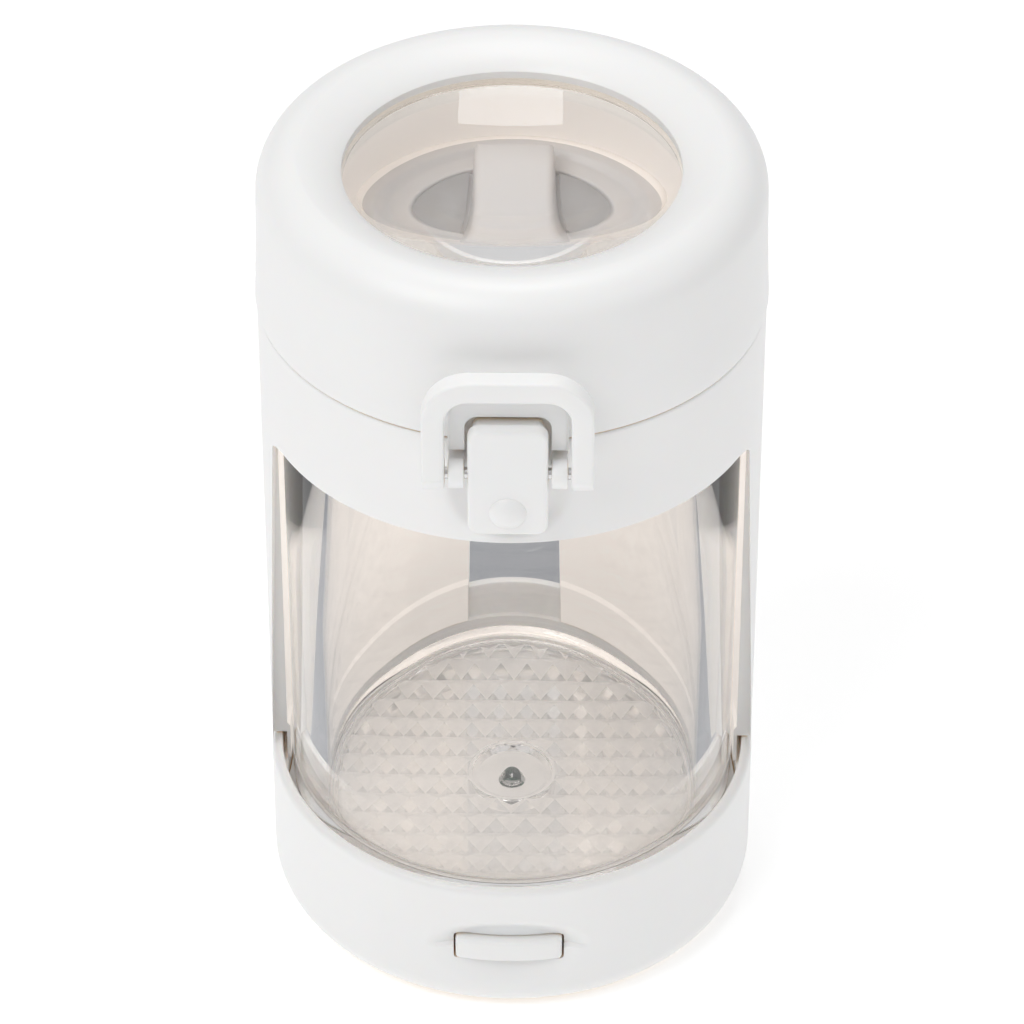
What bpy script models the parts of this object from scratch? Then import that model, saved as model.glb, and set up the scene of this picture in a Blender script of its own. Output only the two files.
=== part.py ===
"""Hand-held pill crusher: magnifier lid, crusher neck, clear jar in a white sleeve, lit base.

Metres, +Z up. The origin is the centre of the footprint, on the surface the object stands on.
The front, with the latch and the light button, faces -Y.
"""
import math

import bmesh
import bpy
from mathutils import Matrix, Vector

MM = 0.001

# ---- driving dimensions, in millimetres ----
BODY_R = 37.5               # outer radius of the sleeve
BASE_R = 37.6               # outer radius of the base
LID_R = 37.75               # outer radius of the lid at its lower edge
BASE_TOP_Z = 25.5
COLLAR_LOW_Z = 93.4         # upper edge of the front window
PART_Z = 111.5              # top of the sleeve; the lid starts just above
TOP_Z = 135.9
GAP = 0.3                   # clearance between pieces that touch
FOOT_H = 0.4                # how far the foot pad stands out below the base
FOOT_R = 20.0
SLEEVE_IN_R = 35.2
JAR_R = 34.4
JAR_IN_R = 29.4
JAR_LOW_Z = 18.9
JAR_TOP_Z = 103.6
LENS_R = 26.6
OPENING_R = 24.7            # opening in the lid above the lens
PIN_Y = -41.0               # latch pin axis, shared by the button and the bail
PIN_Z = 108.9
PIN_R = 0.85
HINGE_Y = 39.6              # lid hinge axis
HINGE_Z = 111.7
HINGE_PIN_R = 1.0
BUTTON_Z = 12.7             # axis of the light button
SCREW_XY = 17.0             # base screws stand on a square of this half side
BOARD_Z = 9.6               # underside of the circuit board
BOARD_T = 1.6
DECK_Z = 14.6               # underside of the light deck
DECK_T = 1.4
SEAT_Z = 105.0              # underside of the neck ring
JAW_R = 27.0

SEG_BIG = 48
SEG_MED = 32
SEG_SMALL = 16
SEG_TINY = 8

WHITE = (0.86, 0.86, 0.86)
for scene_object in list(bpy.data.objects):
    bpy.data.objects.remove(scene_object, do_unlink=True)
PARTS = bpy.data.collections.new("pill_crusher")
CUTTERS = bpy.data.collections.new("cutters")
bpy.context.scene.collection.children.link(PARTS)
bpy.context.scene.collection.children.link(CUTTERS)


# ---- tools ----
def material(name, colour, roughness, metallic=0.0, alpha=1.0):
    """A Principled material for one sub-part."""
    made = bpy.data.materials.new(name)
    made.use_nodes = True
    shader = made.node_tree.nodes["Principled BSDF"]
    shader.inputs["Base Color"].default_value = (*colour, 1.0)
    shader.inputs["Roughness"].default_value = roughness
    shader.inputs["Metallic"].default_value = metallic
    shader.inputs["Alpha"].default_value = alpha
    return made


def add_object(name, mesh, collection=PARTS):
    made = bpy.data.objects.new(name, mesh)
    collection.objects.link(made)
    return made


def finish(piece, colour, roughness, metallic=0.0, alpha=1.0):
    """Give a finished piece its own material and smooth shading."""
    piece.data.materials.clear()
    piece.data.materials.append(material(piece.name, colour, roughness, metallic, alpha))
    piece.data.shade_smooth()
    piece.data.set_sharp_from_angle(angle=math.radians(35))
    return piece


def bake(piece):
    """Replace the object's mesh by its evaluated mesh, so that later cuts start from it."""
    bpy.context.view_layer.update()
    evaluated = piece.evaluated_get(bpy.context.evaluated_depsgraph_get())
    mesh = bpy.data.meshes.new_from_object(evaluated)
    piece.modifiers.clear()
    piece.data = mesh
    return piece


def arc(centre, radius, start_deg, end_deg, steps):
    """Points on an arc in the (r, z) plane."""
    points = []
    for step in range(steps + 1):
        angle = math.radians(start_deg + (end_deg - start_deg) * step / steps)
        points.append((centre[0] + radius * math.cos(angle), centre[1] + radius * math.sin(angle)))
    return points


def turned(name, profile, segments=SEG_BIG, collection=PARTS):
    """Turn a closed (r, z) outline, in mm, about Z; its outer side runs from top to bottom."""
    mesh = bpy.data.meshes.new(name)
    ring = [(r * MM, 0.0, z * MM) for r, z in profile]
    on_axis = profile[0][0] == 0 and profile[-1][0] == 0
    edges = [(i, i + 1) for i in range(len(ring) - 1)]
    if not on_axis:
        edges.append((len(ring) - 1, 0))
    mesh.from_pydata(ring, edges, [])
    piece = add_object(name, mesh, collection)
    screw = piece.modifiers.new("turn", "SCREW")
    screw.axis = "Z"
    screw.steps = segments
    screw.render_steps = segments
    screw.use_merge_vertices = True
    screw.merge_threshold = 0.00001
    return bake(piece)


def box(name, low, high, collection=PARTS, bevel=0.0, bevel_segments=2):
    """A block between two corners, in mm, with its edges rounded."""
    mesh = bpy.data.meshes.new(name)
    work = bmesh.new()
    bmesh.ops.create_cube(work, size=1.0)
    size = [(b - a) * MM for a, b in zip(low, high)]
    centre = [(a + b) / 2 * MM for a, b in zip(low, high)]
    bmesh.ops.scale(work, vec=size, verts=work.verts)
    bmesh.ops.translate(work, vec=centre, verts=work.verts)
    work.to_mesh(mesh)
    work.free()
    piece = add_object(name, mesh, collection)
    if bevel:
        rounding = piece.modifiers.new("round", "BEVEL")
        rounding.width = bevel * MM
        rounding.segments = bevel_segments
        bake(piece)
    return piece


def rod(name, centre, radius, length, axis="Z", segments=SEG_SMALL, collection=PARTS, bevel=0.0,
        top_radius=None):
    """A cylinder or cone about an axis through its centre, in mm."""
    mesh = bpy.data.meshes.new(name)
    work = bmesh.new()
    end_radius = radius if top_radius is None else top_radius
    bmesh.ops.create_cone(work, cap_ends=True, segments=segments, radius1=radius * MM,
                          radius2=end_radius * MM, depth=length * MM)
    turn = {"X": Matrix.Rotation(math.pi / 2, 4, "Y"), "Y": Matrix.Rotation(-math.pi / 2, 4, "X"),
            "Z": Matrix.Identity(4)}[axis]
    bmesh.ops.transform(work, matrix=Matrix.Translation(Vector(centre) * MM) @ turn, verts=work.verts)
    work.to_mesh(mesh)
    work.free()
    piece = add_object(name, mesh, collection)
    if bevel:
        rounding = piece.modifiers.new("round", "BEVEL")
        rounding.width = bevel * MM
        rounding.segments = 2
        rounding.limit_method = "ANGLE"
        bake(piece)
    return piece


def plate(name, outline, depth_low, depth_high, axis, collection=PARTS, bevel=0.0, bevel_segments=2):
    """Extrude a closed outline, in mm, along an axis.

    The outline is in (x, z) for axis Y, (x, y) for axis Z and (y, z) for axis X.
    """
    mesh = bpy.data.meshes.new(name)
    work = bmesh.new()

    def place(u, v, depth):
        return Vector({"Y": (u, depth, v), "Z": (u, v, depth), "X": (depth, u, v)}[axis]) * MM

    face = work.faces.new([work.verts.new(place(u, v, depth_low)) for u, v in outline])
    grown = bmesh.ops.extrude_face_region(work, geom=[face])
    top = [item for item in grown["geom"] if isinstance(item, bmesh.types.BMVert)]
    shift = place(0, 0, depth_high) - place(0, 0, depth_low)
    bmesh.ops.translate(work, vec=shift, verts=top)
    bmesh.ops.recalc_face_normals(work, faces=work.faces)
    work.to_mesh(mesh)
    work.free()
    piece = add_object(name, mesh, collection)
    if bevel:
        rounding = piece.modifiers.new("round", "BEVEL")
        rounding.width = bevel * MM
        rounding.segments = bevel_segments
        rounding.limit_method = "ANGLE"
        rounding.angle_limit = math.radians(50)
        bake(piece)
    return piece


def rounded(half_width, low, high, corner, corner_low=None, steps=5):
    """Outline of an upright rectangle with rounded corners, centred on u = 0."""
    lower = corner if corner_low is None else corner_low
    points = arc((half_width - corner, high - corner), corner, 0, 90, steps)
    points += arc((-half_width + corner, high - corner), corner, 90, 180, steps)
    points += arc((-half_width + lower, low + lower), lower, 180, 270, steps)
    points += arc((half_width - lower, low + lower), lower, 270, 360, steps)
    return points


def combine(piece, tools, operation):
    """Cut, join or intersect a piece with tool objects, which end up hidden among the cutters."""
    for tool in tools:
        change = piece.modifiers.new(operation.lower(), "BOOLEAN")
        change.operation = operation
        change.solver = "EXACT"
        change.object = tool
    bake(piece)
    for tool in tools:
        bpy.data.objects.remove(tool, do_unlink=True)
    work = bmesh.new()
    work.from_mesh(piece.data)
    bmesh.ops.remove_doubles(work, verts=work.verts, dist=0.000002)
    bmesh.ops.dissolve_degenerate(work, edges=work.edges, dist=0.000001)
    work.to_mesh(piece.data)
    work.free()
    return piece


def cut(piece, *tools):
    return combine(piece, tools, "DIFFERENCE")


def join(piece, *tools):
    return combine(piece, tools, "UNION")


def cutter_box(low, high, bevel=0.0):
    return box("cutter", low, high, CUTTERS, bevel)


def cutter_rod(centre, radius, length, axis="Z", segments=SEG_SMALL, top_radius=None):
    return rod("cutter", centre, radius, length, axis, segments, CUTTERS, 0.0, top_radius)


def cutter_plate(outline, low, high, axis):
    return plate("cutter", outline, low, high, axis, CUTTERS)


def wire(name, points, radius, sides=2):
    """A round wire through points, in mm, as a closed mesh."""
    curve = bpy.data.curves.new(name, "CURVE")
    curve.dimensions = "3D"
    curve.bevel_depth = radius * MM
    curve.bevel_resolution = sides
    curve.use_fill_caps = True
    line = curve.splines.new("POLY")
    line.points.add(len(points) - 1)
    for spot, point in zip(line.points, points):
        spot.co = (*(Vector(point) * MM), 1.0)
    guide = add_object(name + "_line", curve, CUTTERS)
    bpy.context.view_layer.update()
    mesh = bpy.data.meshes.new_from_object(guide.evaluated_get(bpy.context.evaluated_depsgraph_get()))
    bpy.data.objects.remove(guide, do_unlink=True)
    work = bmesh.new()
    work.from_mesh(mesh)
    bmesh.ops.remove_doubles(work, verts=work.verts, dist=0.000001)
    bmesh.ops.recalc_face_normals(work, faces=work.faces)
    work.to_mesh(mesh)
    work.free()
    return add_object(name, mesh)


def helix(start, axis, radius, turns, pitch, steps_per_turn=10, phase_deg=0.0):
    """Points of a coil along X or Y, in mm."""
    points = []
    for step in range(int(turns * steps_per_turn) + 1):
        angle = math.radians(phase_deg) + step / steps_per_turn * 2 * math.pi
        along = step / steps_per_turn * pitch
        a, b = radius * math.cos(angle), radius * math.sin(angle)
        offset = (along, a, b) if axis == "X" else (a, along, b)
        points.append(tuple(s + o for s, o in zip(start, offset)))
    return points


def wrapped_dish(radius, half_width, half_height, depth, centre_z):
    """A lens-shaped cutter that leaves a shallow oval dish in the front of a round wall."""
    mesh = bpy.data.meshes.new("dish")
    work = bmesh.new()
    bmesh.ops.create_uvsphere(work, u_segments=18, v_segments=10, radius=1.0)
    for vert in work.verts:
        u, v, w = vert.co
        turn = u * half_width / radius
        outward = 3.0 if w > 0 else depth
        r = radius + w * outward
        vert.co = Vector((r * math.sin(turn), -r * math.cos(turn), centre_z + v * half_height)) * MM
    if work.calc_volume(signed=True) < 0:
        bmesh.ops.reverse_faces(work, faces=work.faces)
    work.to_mesh(mesh)
    work.free()
    return add_object("dish", mesh, CUTTERS)


# ---- joint pivots ----
def pivot(name, x, y, z):
    """An empty on a joint's axis, which carries the pieces that turn or slide there."""
    mark = bpy.data.objects.new(name, None)
    mark.empty_display_size = 0.01
    mark.location = Vector((x, y, z)) * MM
    PARTS.objects.link(mark)
    return mark


def carry(mark, *pieces):
    bpy.context.view_layer.update()
    for piece in pieces:
        piece.parent = mark
        piece.matrix_parent_inverse = mark.matrix_world.inverted()


# ---- base ----
def build_base_shell():
    """Cup-shaped base housing: rounded foot edge, screw flange, and a socket for the sleeve."""
    fillet = 5.4
    outer = [(35.95, 25.25), (36.45, BASE_TOP_Z), (37.15, 25.2), (BASE_R, 24.4)]
    outer += arc((BASE_R - fillet, FOOT_H + fillet), fillet, 0, -90, 4)
    inner = [(30.6, FOOT_H), (30.6, 2.7), (28.7, 2.7), (28.7, 3.9), (32.2, 4.0), (35.0, 7.2), (35.0, 14.3),
             (35.6, 14.3), (35.6, 19.9), (35.95, 20.2)]
    shell = turned("base_shell", outer + inner)
    join(shell, cutter_box((-11.5, -35.9, 6.0), (11.5, -34.6, 20.0)),
         cutter_box((-11.5, -35.4, 6.0), (11.5, -33.3, 14.1)))
    cut(shell, wrapped_dish(BASE_R, 13.2, 6.4, 2.1, BUTTON_Z),
        cutter_box((-8.5, -40, BUTTON_Z - 2.2), (8.5, -32, BUTTON_Z + 2.2)),
        cutter_plate(rounded(4.8, BUTTON_Z - 1.6, BUTTON_Z + 2.0, 1.6), 33, 40, "Y"))
    return finish(shell, WHITE, 0.35)


def build_base_cover():
    """Bottom cover with four screw pads and a round pocket for the foot pad."""
    cover = turned("base_cover", [(0, 2.4), (30.2, 2.4), (30.2, FOOT_H), (0, FOOT_H)], SEG_MED)
    spots = [(sx * SCREW_XY, sy * SCREW_XY) for sx in (-1, 1) for sy in (-1, 1)]
    join(cover, *[cutter_rod((x, y, 3.2), 4.1, 2.2) for x, y in spots])
    tools = []
    for x, y in spots:
        tools.append(cutter_rod((x, y, 0), 3.0, 5.2))
        tools.append(cutter_rod((x, y, 3), 1.6, 6.0, segments=SEG_TINY))
    cut(cover, cutter_rod((0, 0, 0), FOOT_R + GAP, 3.0, segments=SEG_MED), *tools)
    return finish(cover, WHITE, 0.4)


def build_foot_pad():
    """Round anti-slip pad let into the cover; the only piece that touches the table."""
    pad = rod("foot_pad", (0, 0, 0.6), FOOT_R, 1.2, segments=SEG_MED)
    finish(pad, (0.5, 0.5, 0.5), 0.8)


def build_screws():
    """Pan-head screws that hold the cover, the shell flange and the light deck together."""
    index = 0
    for sx in (-1, 1):
        for sy in (-1, 1):
            index += 1
            x, y = sx * SCREW_XY, sy * SCREW_XY
            screw = rod(f"base_screw_{index}", (x, y, 1.6), 2.6, 1.4)
            shank = rod("shank", (x, y, 7.2), 1.2, 10.2, segments=SEG_TINY, collection=CUTTERS)
            join(screw, shank)
            cut(screw, cutter_box((x - 1.6, y - 0.35, 0.5), (x + 1.6, y + 0.35, 1.6)))
            finish(screw, (0.55, 0.56, 0.58), 0.3, 1.0)


def build_light_button():
    """Wide push button in the dish: a bar that shows, and a guided body behind the wall."""
    bar = box("led_button", (-8.15, -37.3, BUTTON_Z - 1.9), (8.15, -34.2, BUTTON_Z + 1.9), bevel=0.5)
    collar = box("collar", (-9.5, -32.6, BUTTON_Z - 1.2), (9.5, -31.4, BUTTON_Z + 1.2), CUTTERS)
    neck = box("neck", (-7.5, -34.5, BUTTON_Z - 1.1), (7.5, -32.0, BUTTON_Z + 1.1), CUTTERS)
    join(bar, neck, collar)
    return finish(bar, WHITE, 0.3)


def build_electronics():
    """Board, side-push switch, cell, leads, light and charging port, all inside the base."""
    board = plate("circuit_board", rounded(13.0, -28.5, 31.0, 2.0), BOARD_Z, BOARD_Z + BOARD_T, "Z")
    finish(board, (0.02, 0.2, 0.08), 0.5)
    top = BOARD_Z + BOARD_T + GAP
    switch = box("switch_body", (-3.0, -29.3, top), (3.0, -25.8, top + 2.6), bevel=0.2)
    cut(switch, cutter_box((-1.5, -30, BUTTON_Z - 0.75), (1.5, -27.4, BUTTON_Z + 0.75)))
    finish(switch, (0.35, 0.35, 0.36), 0.35, 1.0)
    plunger = box("switch_plunger", (-1.2, -31.1, BUTTON_Z - 0.45), (1.2, -28.6, BUTTON_Z + 0.45))
    finish(plunger, (0.03, 0.03, 0.03), 0.5)
    cell = box("battery", (-11.0, -16.0, 3.0), (11.0, 16.0, 8.6), bevel=1.2)
    finish(cell, (0.6, 0.62, 0.65), 0.35, 0.6)
    for side, name, colour in ((-1, "battery_lead_black", (0.01, 0.01, 0.01)),
                               (1, "battery_lead_red", (0.5, 0.01, 0.01))):
        path = []
        for t in range(7):
            out, up = 4.2 * math.sin(t * math.pi / 12), 1.4 * (1 - math.cos(t * math.pi / 6))
            path.append((side * 3.0, -16.4 - out, 5.8 + up))
        path.append((side * 3.0, -20.6, 9.2))
        finish(wire(name, path, 0.5), colour, 0.45)
    light = turned("led", [(0, 18.5)] + arc((0, 17.0), 1.5, 75, 0, 4) + [(1.5, 12.6), (1.9, 12.6),
                   (1.9, top), (0, top)], SEG_SMALL)
    finish(light, (0.9, 0.9, 0.85), 0.1, 0.0, 0.6)
    port = plate("charging_port", rounded(4.45, BUTTON_Z - 1.2, BUTTON_Z + 1.6, 1.25), 28.9, 36.6, "Y")
    cut(port, cutter_plate(rounded(4.1, BUTTON_Z - 0.85, BUTTON_Z + 1.25, 1.0), 30.0, 40.0, "Y"))
    join(port, box("tongue", (-3.2, 29.5, BUTTON_Z - 0.15), (3.2, 35.6, BUTTON_Z + 0.55), CUTTERS))
    finish(port, (0.6, 0.6, 0.62), 0.25, 1.0)


def build_deck():
    """White deck under the clear floor; its four posts take the base screws."""
    deck = turned("light_deck", [(0, DECK_Z + DECK_T), (35.2, DECK_Z + DECK_T), (35.2, DECK_Z), (0, DECK_Z)],
                  SEG_MED)
    spots = [(sx * SCREW_XY, sy * SCREW_XY) for sx in (-1, 1) for sy in (-1, 1)]
    join(deck, *[cutter_rod((x, y, 9.8), 2.9, 10.2) for x, y in spots])
    cut(deck, cutter_rod((0, 0, DECK_Z), 2.2, 6.0),
        cutter_box((-16, -37, DECK_Z - 1), (16, -31.0, DECK_Z + DECK_T + 1)),
        *[cutter_rod((x, y, 8.5), 1.5, 9.2, segments=SEG_TINY) for x, y in spots])
    return finish(deck, (0.85, 0.85, 0.83), 0.4)


def build_floor_lens():
    """Clear floor with a plain raised rim and a round well for the light."""
    low, plain, rim_z = DECK_Z + DECK_T + GAP, 17.6, 18.3
    outline = [(1.8, 16.9), (2.6, 16.9), (5.6, 17.5), (6.3, 18.2), (6.8, rim_z), (7.0, plain), (29.6, plain)]
    outline += [(29.8, rim_z), (30.8, rim_z), (31.2, rim_z - 0.4), (31.2, low), (1.8, low)]
    return finish(turned("floor_lens", outline, SEG_MED), (0.9, 0.9, 0.9), 0.05, 0.0, 0.35)


def ring(name, outer_r, inner_r, low, high, colour, roughness):
    """A plain flat ring."""
    outline = [(inner_r, high), (outer_r, high), (outer_r, low), (inner_r, low)]
    return finish(turned(name, outline, SEG_MED), colour, roughness)


# ---- jar and sleeve ----
def build_jar():
    """Thick-walled clear jar with a floor and a rounded inner corner."""
    floor_z = JAR_LOW_Z + 2.0
    outline = [(JAR_IN_R + 0.5, JAR_TOP_Z), (JAR_R - 0.5, JAR_TOP_Z), (JAR_R, JAR_TOP_Z - 0.5)]
    outline += arc((JAR_R - 1.2, JAR_LOW_Z + 1.2), 1.2, 0, -90, 2) + [(0, JAR_LOW_Z)]
    inner = [(0, floor_z)] + arc((JAR_IN_R - 2.6, floor_z + 2.6), 2.6, -90, 0, 3)
    inner += [(JAR_IN_R, JAR_TOP_Z - 0.5)]
    return finish(turned("jar", inner + outline, SEG_BIG), (0.95, 0.95, 0.95), 0.03, 0.0, 0.25)


def build_sleeve():
    """One-piece white sleeve: collar, side strips, front window, rear slot, latch lugs, hinge knuckles."""
    outline = [(SLEEVE_IN_R + 0.3, PART_Z), (BODY_R - 0.35, PART_Z), (BODY_R, PART_Z - 0.35),
               (BODY_R, BASE_TOP_Z + GAP), (35.3, BASE_TOP_Z + GAP), (35.3, 20.6), (34.75, 20.6),
               (34.75, 27.0), (SLEEVE_IN_R, 27.6), (SLEEVE_IN_R, PART_Z - 0.3)]
    sleeve = turned("sleeve", outline)
    window = rounded(35.2, 60, COLLAR_LOW_Z, 2.2)[:12]
    window += [(-36.1, 65.0), (-36.9, 42.0), (-37.35, 25.6), (-37.35, 15.0), (37.35, 15.0), (37.35, 25.6),
               (36.9, 42.0), (36.1, 65.0)]
    slot = rounded(9.0, 10.0, 90.0, 3.0)
    lug = []
    for x in (-7.35, 7.35):
        lug.append(box("lug", (x - 1.15, -41.0, PIN_Z - 2.2), (x + 1.15, -36.5, PIN_Z + 2.2), CUTTERS))
        lug.append(rod("lug", (x, PIN_Y, PIN_Z), 2.2, 2.3, "X", SEG_SMALL, CUTTERS))
    knuckle = []
    for x in (-9.0, 9.0):
        knuckle.append(rod("knuckle", (x, HINGE_Y, HINGE_Z), 2.4, 5.0, "X", SEG_SMALL, CUTTERS))
        knuckle.append(box("arm", (x - 2.5, 36.4, HINGE_Z - 6.5), (x + 2.5, HINGE_Y + 0.9, HINGE_Z - 1.0),
                           CUTTERS))
    join(sleeve, *lug, *knuckle)
    scoop = wrapped_dish(BODY_R, 8.6, 6.2, 1.1, 101.2)
    cut(sleeve, scoop, cutter_plate(window, -50, -1.0, "Y"), cutter_plate(slot, 20, 50, "Y"),
        cutter_rod((0, PIN_Y, PIN_Z), PIN_R + 0.05, 30, "X"),
        cutter_rod((0, HINGE_Y, HINGE_Z), HINGE_PIN_R + 0.05, 30, "X"),
        cutter_rod((0, HINGE_Y, HINGE_Z), 2.9, 12.6, "X", SEG_SMALL))
    return finish(sleeve, WHITE, 0.35)


def build_neck_ring():
    """White ring fixed in the collar: it closes the jar and seats the crusher."""
    outline = [(27.6, PART_Z), (34.5, PART_Z), (34.9, PART_Z - 0.4), (34.9, SEAT_Z), (24.6, SEAT_Z),
               (24.6, SEAT_Z + 1.6), (27.4, SEAT_Z + 1.6), (27.4, PART_Z - 0.2)]
    return finish(turned("neck_ring", outline, SEG_MED), WHITE, 0.4)


# ---- crusher ----
def peg_ring(count, radius, low, high, big, small, turn=0.04):
    """Tapered four-sided teeth on a circle."""
    teeth = []
    for index in range(count):
        angle = turn + index / count * 2 * math.pi
        teeth.append(rod("tooth", (radius * math.cos(angle), radius * math.sin(angle), (low + high) / 2), big,
                         high - low, "Z", 4, CUTTERS, 0.0, small))
    return teeth


def build_lower_jaw():
    """Fixed steel plate with sieve holes and three rows of teeth."""
    z = SEAT_Z + 1.6 + GAP
    jaw = rod("lower_jaw", (0, 0, z + 0.6), JAW_R, 1.2, segments=SEG_MED)
    join(jaw, *peg_ring(6, 8.0, z + 0.8, z + 3.2, 1.3, 0.7), *peg_ring(10, 17.0, z + 0.8, z + 3.2, 1.3, 0.7))
    holes = []
    for count, radius in ((4, 4.2), (8, 12.5), (12, 21.0)):
        for index in range(count):
            angle = (index + 0.5) / count * 2 * math.pi
            holes.append(cutter_rod((radius * math.cos(angle), radius * math.sin(angle), z), 1.4, 6.0,
                                    segments=6))
    cut(jaw, *holes)
    return finish(jaw, (0.6, 0.61, 0.62), 0.3, 1.0)


def build_crusher_top():
    """Turning half: upper jaw, its screw, the white cap with the finger bar, and the disc let into it."""
    low = SEAT_Z + 1.6 + GAP + 1.2            # top face of the lower jaw
    jaw_z = low + 2.9
    jaw = rod("upper_jaw", (0, 0, jaw_z + 0.5), 26.0, 1.0, segments=SEG_MED)
    tip, root = jaw_z - 2.4, jaw_z + 0.4
    join(jaw, *peg_ring(8, 12.5, tip, root, 0.7, 1.3, 0.0), *peg_ring(12, 22.0, tip, root, 0.7, 1.3, 0.0))
    cut(jaw, cutter_rod((0, 0, jaw_z), 1.6, 6.0, segments=SEG_TINY))
    finish(jaw, (0.6, 0.61, 0.62), 0.3, 1.0)
    cap_z = jaw_z + 1.0 + GAP
    outline = [(0, cap_z + 0.9), (22.3, cap_z + 0.9), (22.3, cap_z + 1.8), (24.6, cap_z + 1.8)]
    outline += [(25.4, cap_z + 2.6), (26.6, cap_z + 2.6), (27.0, cap_z + 2.2), (27.0, cap_z), (0, cap_z)]
    cap = turned("crusher_cap", outline, SEG_MED)
    half = [(5.4, -22.6), (5.4, -12), (4.8, -6), (4.8, 6), (5.4, 12), (5.4, 22.6)]
    waisted = half + [(-x, y) for x, y in reversed(half)]
    join(cap, plate("bar", waisted, cap_z + 0.5, cap_z + 5.7, "Z", CUTTERS, 0.8))
    cut(cap, cutter_rod((0, 0, cap_z), 1.5, 8.0, segments=SEG_TINY))
    finish(cap, WHITE, 0.4)
    disc = [(0, cap_z + 1.8), (22.0, cap_z + 1.8), (22.0, cap_z + 1.2), (0, cap_z + 1.2)]
    inlays = []
    for name, near, far in (("cap_inlay_left", -25, -5.75), ("cap_inlay_right", 5.75, 25)):
        inlay = turned(name, disc, SEG_MED)
        combine(inlay, [cutter_box((near, -25, cap_z), (far, 25, cap_z + 4))], "INTERSECT")
        inlays.append(finish(inlay, (0.45, 0.46, 0.47), 0.4, 0.8))
    screw = rod("jaw_screw", (0, 0, jaw_z - 0.8), 2.6, 1.0, bevel=0.2)
    join(screw, cutter_rod((0, 0, jaw_z + 1.8), 1.2, 5.2, segments=SEG_TINY))
    cut(screw, cutter_box((-1.4, -0.3, jaw_z - 2), (1.4, 0.3, jaw_z - 0.9)))
    finish(screw, (0.55, 0.56, 0.58), 0.3, 1.0)
    return [jaw, cap, screw, *inlays]


# ---- lid ----
def build_lid_shell():
    """Lid with a soft top ring around the lens, the arched catch block and a hinge knuckle."""
    low = PART_Z + 0.35
    crest_r = 31.2
    outer = [(OPENING_R, 133.15), (26.6, 134.35), (28.9, 135.45), (crest_r, TOP_Z)]
    outer += arc((37.2 - 6.0, TOP_Z - 6.0), 6.0, 80, 0, 5)
    outer += [(LID_R, low + 0.4), (LID_R - 0.35, low)]
    inner = [(35.2, low), (35.2, 128.8), (33.6, 131.0), (27.1, 131.6), (25.0, 131.6), (OPENING_R, 131.9)]
    lid = turned("lid_shell", outer + inner)
    block = plate("block", rounded(8.55, low, 121.4, 3.3, 0.2), -39.9, -34.0, "Y", CUTTERS, 0.4)
    slot = cutter_plate(rounded(6.15, low - 10, 118.0, 1.9), -45, -38.1, "Y")
    cut(block, slot)
    knuckle = rod("knuckle", (0, HINGE_Y, HINGE_Z), 2.4, 12.0, "X", SEG_SMALL, CUTTERS)
    arm = box("arm", (-6.0, 36.2, HINGE_Z + 0.8), (6.0, HINGE_Y + 1.0, HINGE_Z + 6.5), CUTTERS, 0.5)
    join(lid, block, knuckle, arm)
    cut(lid, cutter_rod((0, HINGE_Y, HINGE_Z), HINGE_PIN_R + 0.05, 30, "X"),
        *[cutter_rod((side * 9.3, HINGE_Y, HINGE_Z), 2.8, 6.0, "X", SEG_SMALL) for side in (-1, 1)],
        cutter_box((-2.7, HINGE_Y - 3.0, HINGE_Z - 4), (2.7, HINGE_Y + 4.0, HINGE_Z + 3.4)),
        turned("inside", [(0, 128.0), (35.2, 128.0), (35.2, 105.0), (0, 105.0)], SEG_BIG, CUTTERS))
    return finish(lid, WHITE, 0.3)


def build_lid_liner():
    """Inner wall of the lid: it clamps the lens from below and carries the gasket in a groove."""
    low = PART_Z + 0.35
    outline = [(24.9, 127.6), (27.2, 127.6), (34.8, 127.6), (34.8, low + 0.2), (33.9, low + 0.2),
               (33.9, low + 2.0), (31.6, low + 2.0), (31.6, low + 0.2), (30.6, low + 0.2), (30.6, 126.2),
               (24.9, 126.4)]
    return finish(turned("lid_liner", outline, SEG_MED), (0.8, 0.78, 0.76), 0.4)


def build_lens():
    """Magnifying lens, domed below, with a plain rim held between the shell and the liner."""
    top, rim_low, thickness, dome_r = 131.2, 128.0, 4.2, 98.0
    centre_z = top - thickness + dome_r
    lower = []
    for step in range(6):
        r = 24.6 * (1 - step / 5)
        lower.append((r, centre_z - math.sqrt(dome_r ** 2 - r ** 2)))
    outline = [(0, top), (LENS_R - 0.4, top), (LENS_R, top - 0.4), (LENS_R, rim_low), (24.7, rim_low)] + lower
    return finish(turned("lens", outline, SEG_MED), (0.95, 0.95, 0.95), 0.02, 0.0, 0.3)


def build_hinge():
    """Lid hinge pin and the coil of its spring, which sits in the gap cut in the lid knuckle."""
    pin = rod("hinge_pin", (0, HINGE_Y, HINGE_Z), HINGE_PIN_R, 22.6, "X", SEG_SMALL, bevel=0.2)
    finish(pin, (0.6, 0.6, 0.62), 0.25, 1.0)
    coil = wire("hinge_spring", helix((-1.9, HINGE_Y, HINGE_Z), "X", 1.75, 3, 1.27), 0.25, 1)
    finish(coil, (0.6, 0.6, 0.62), 0.3, 1.0)


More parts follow.
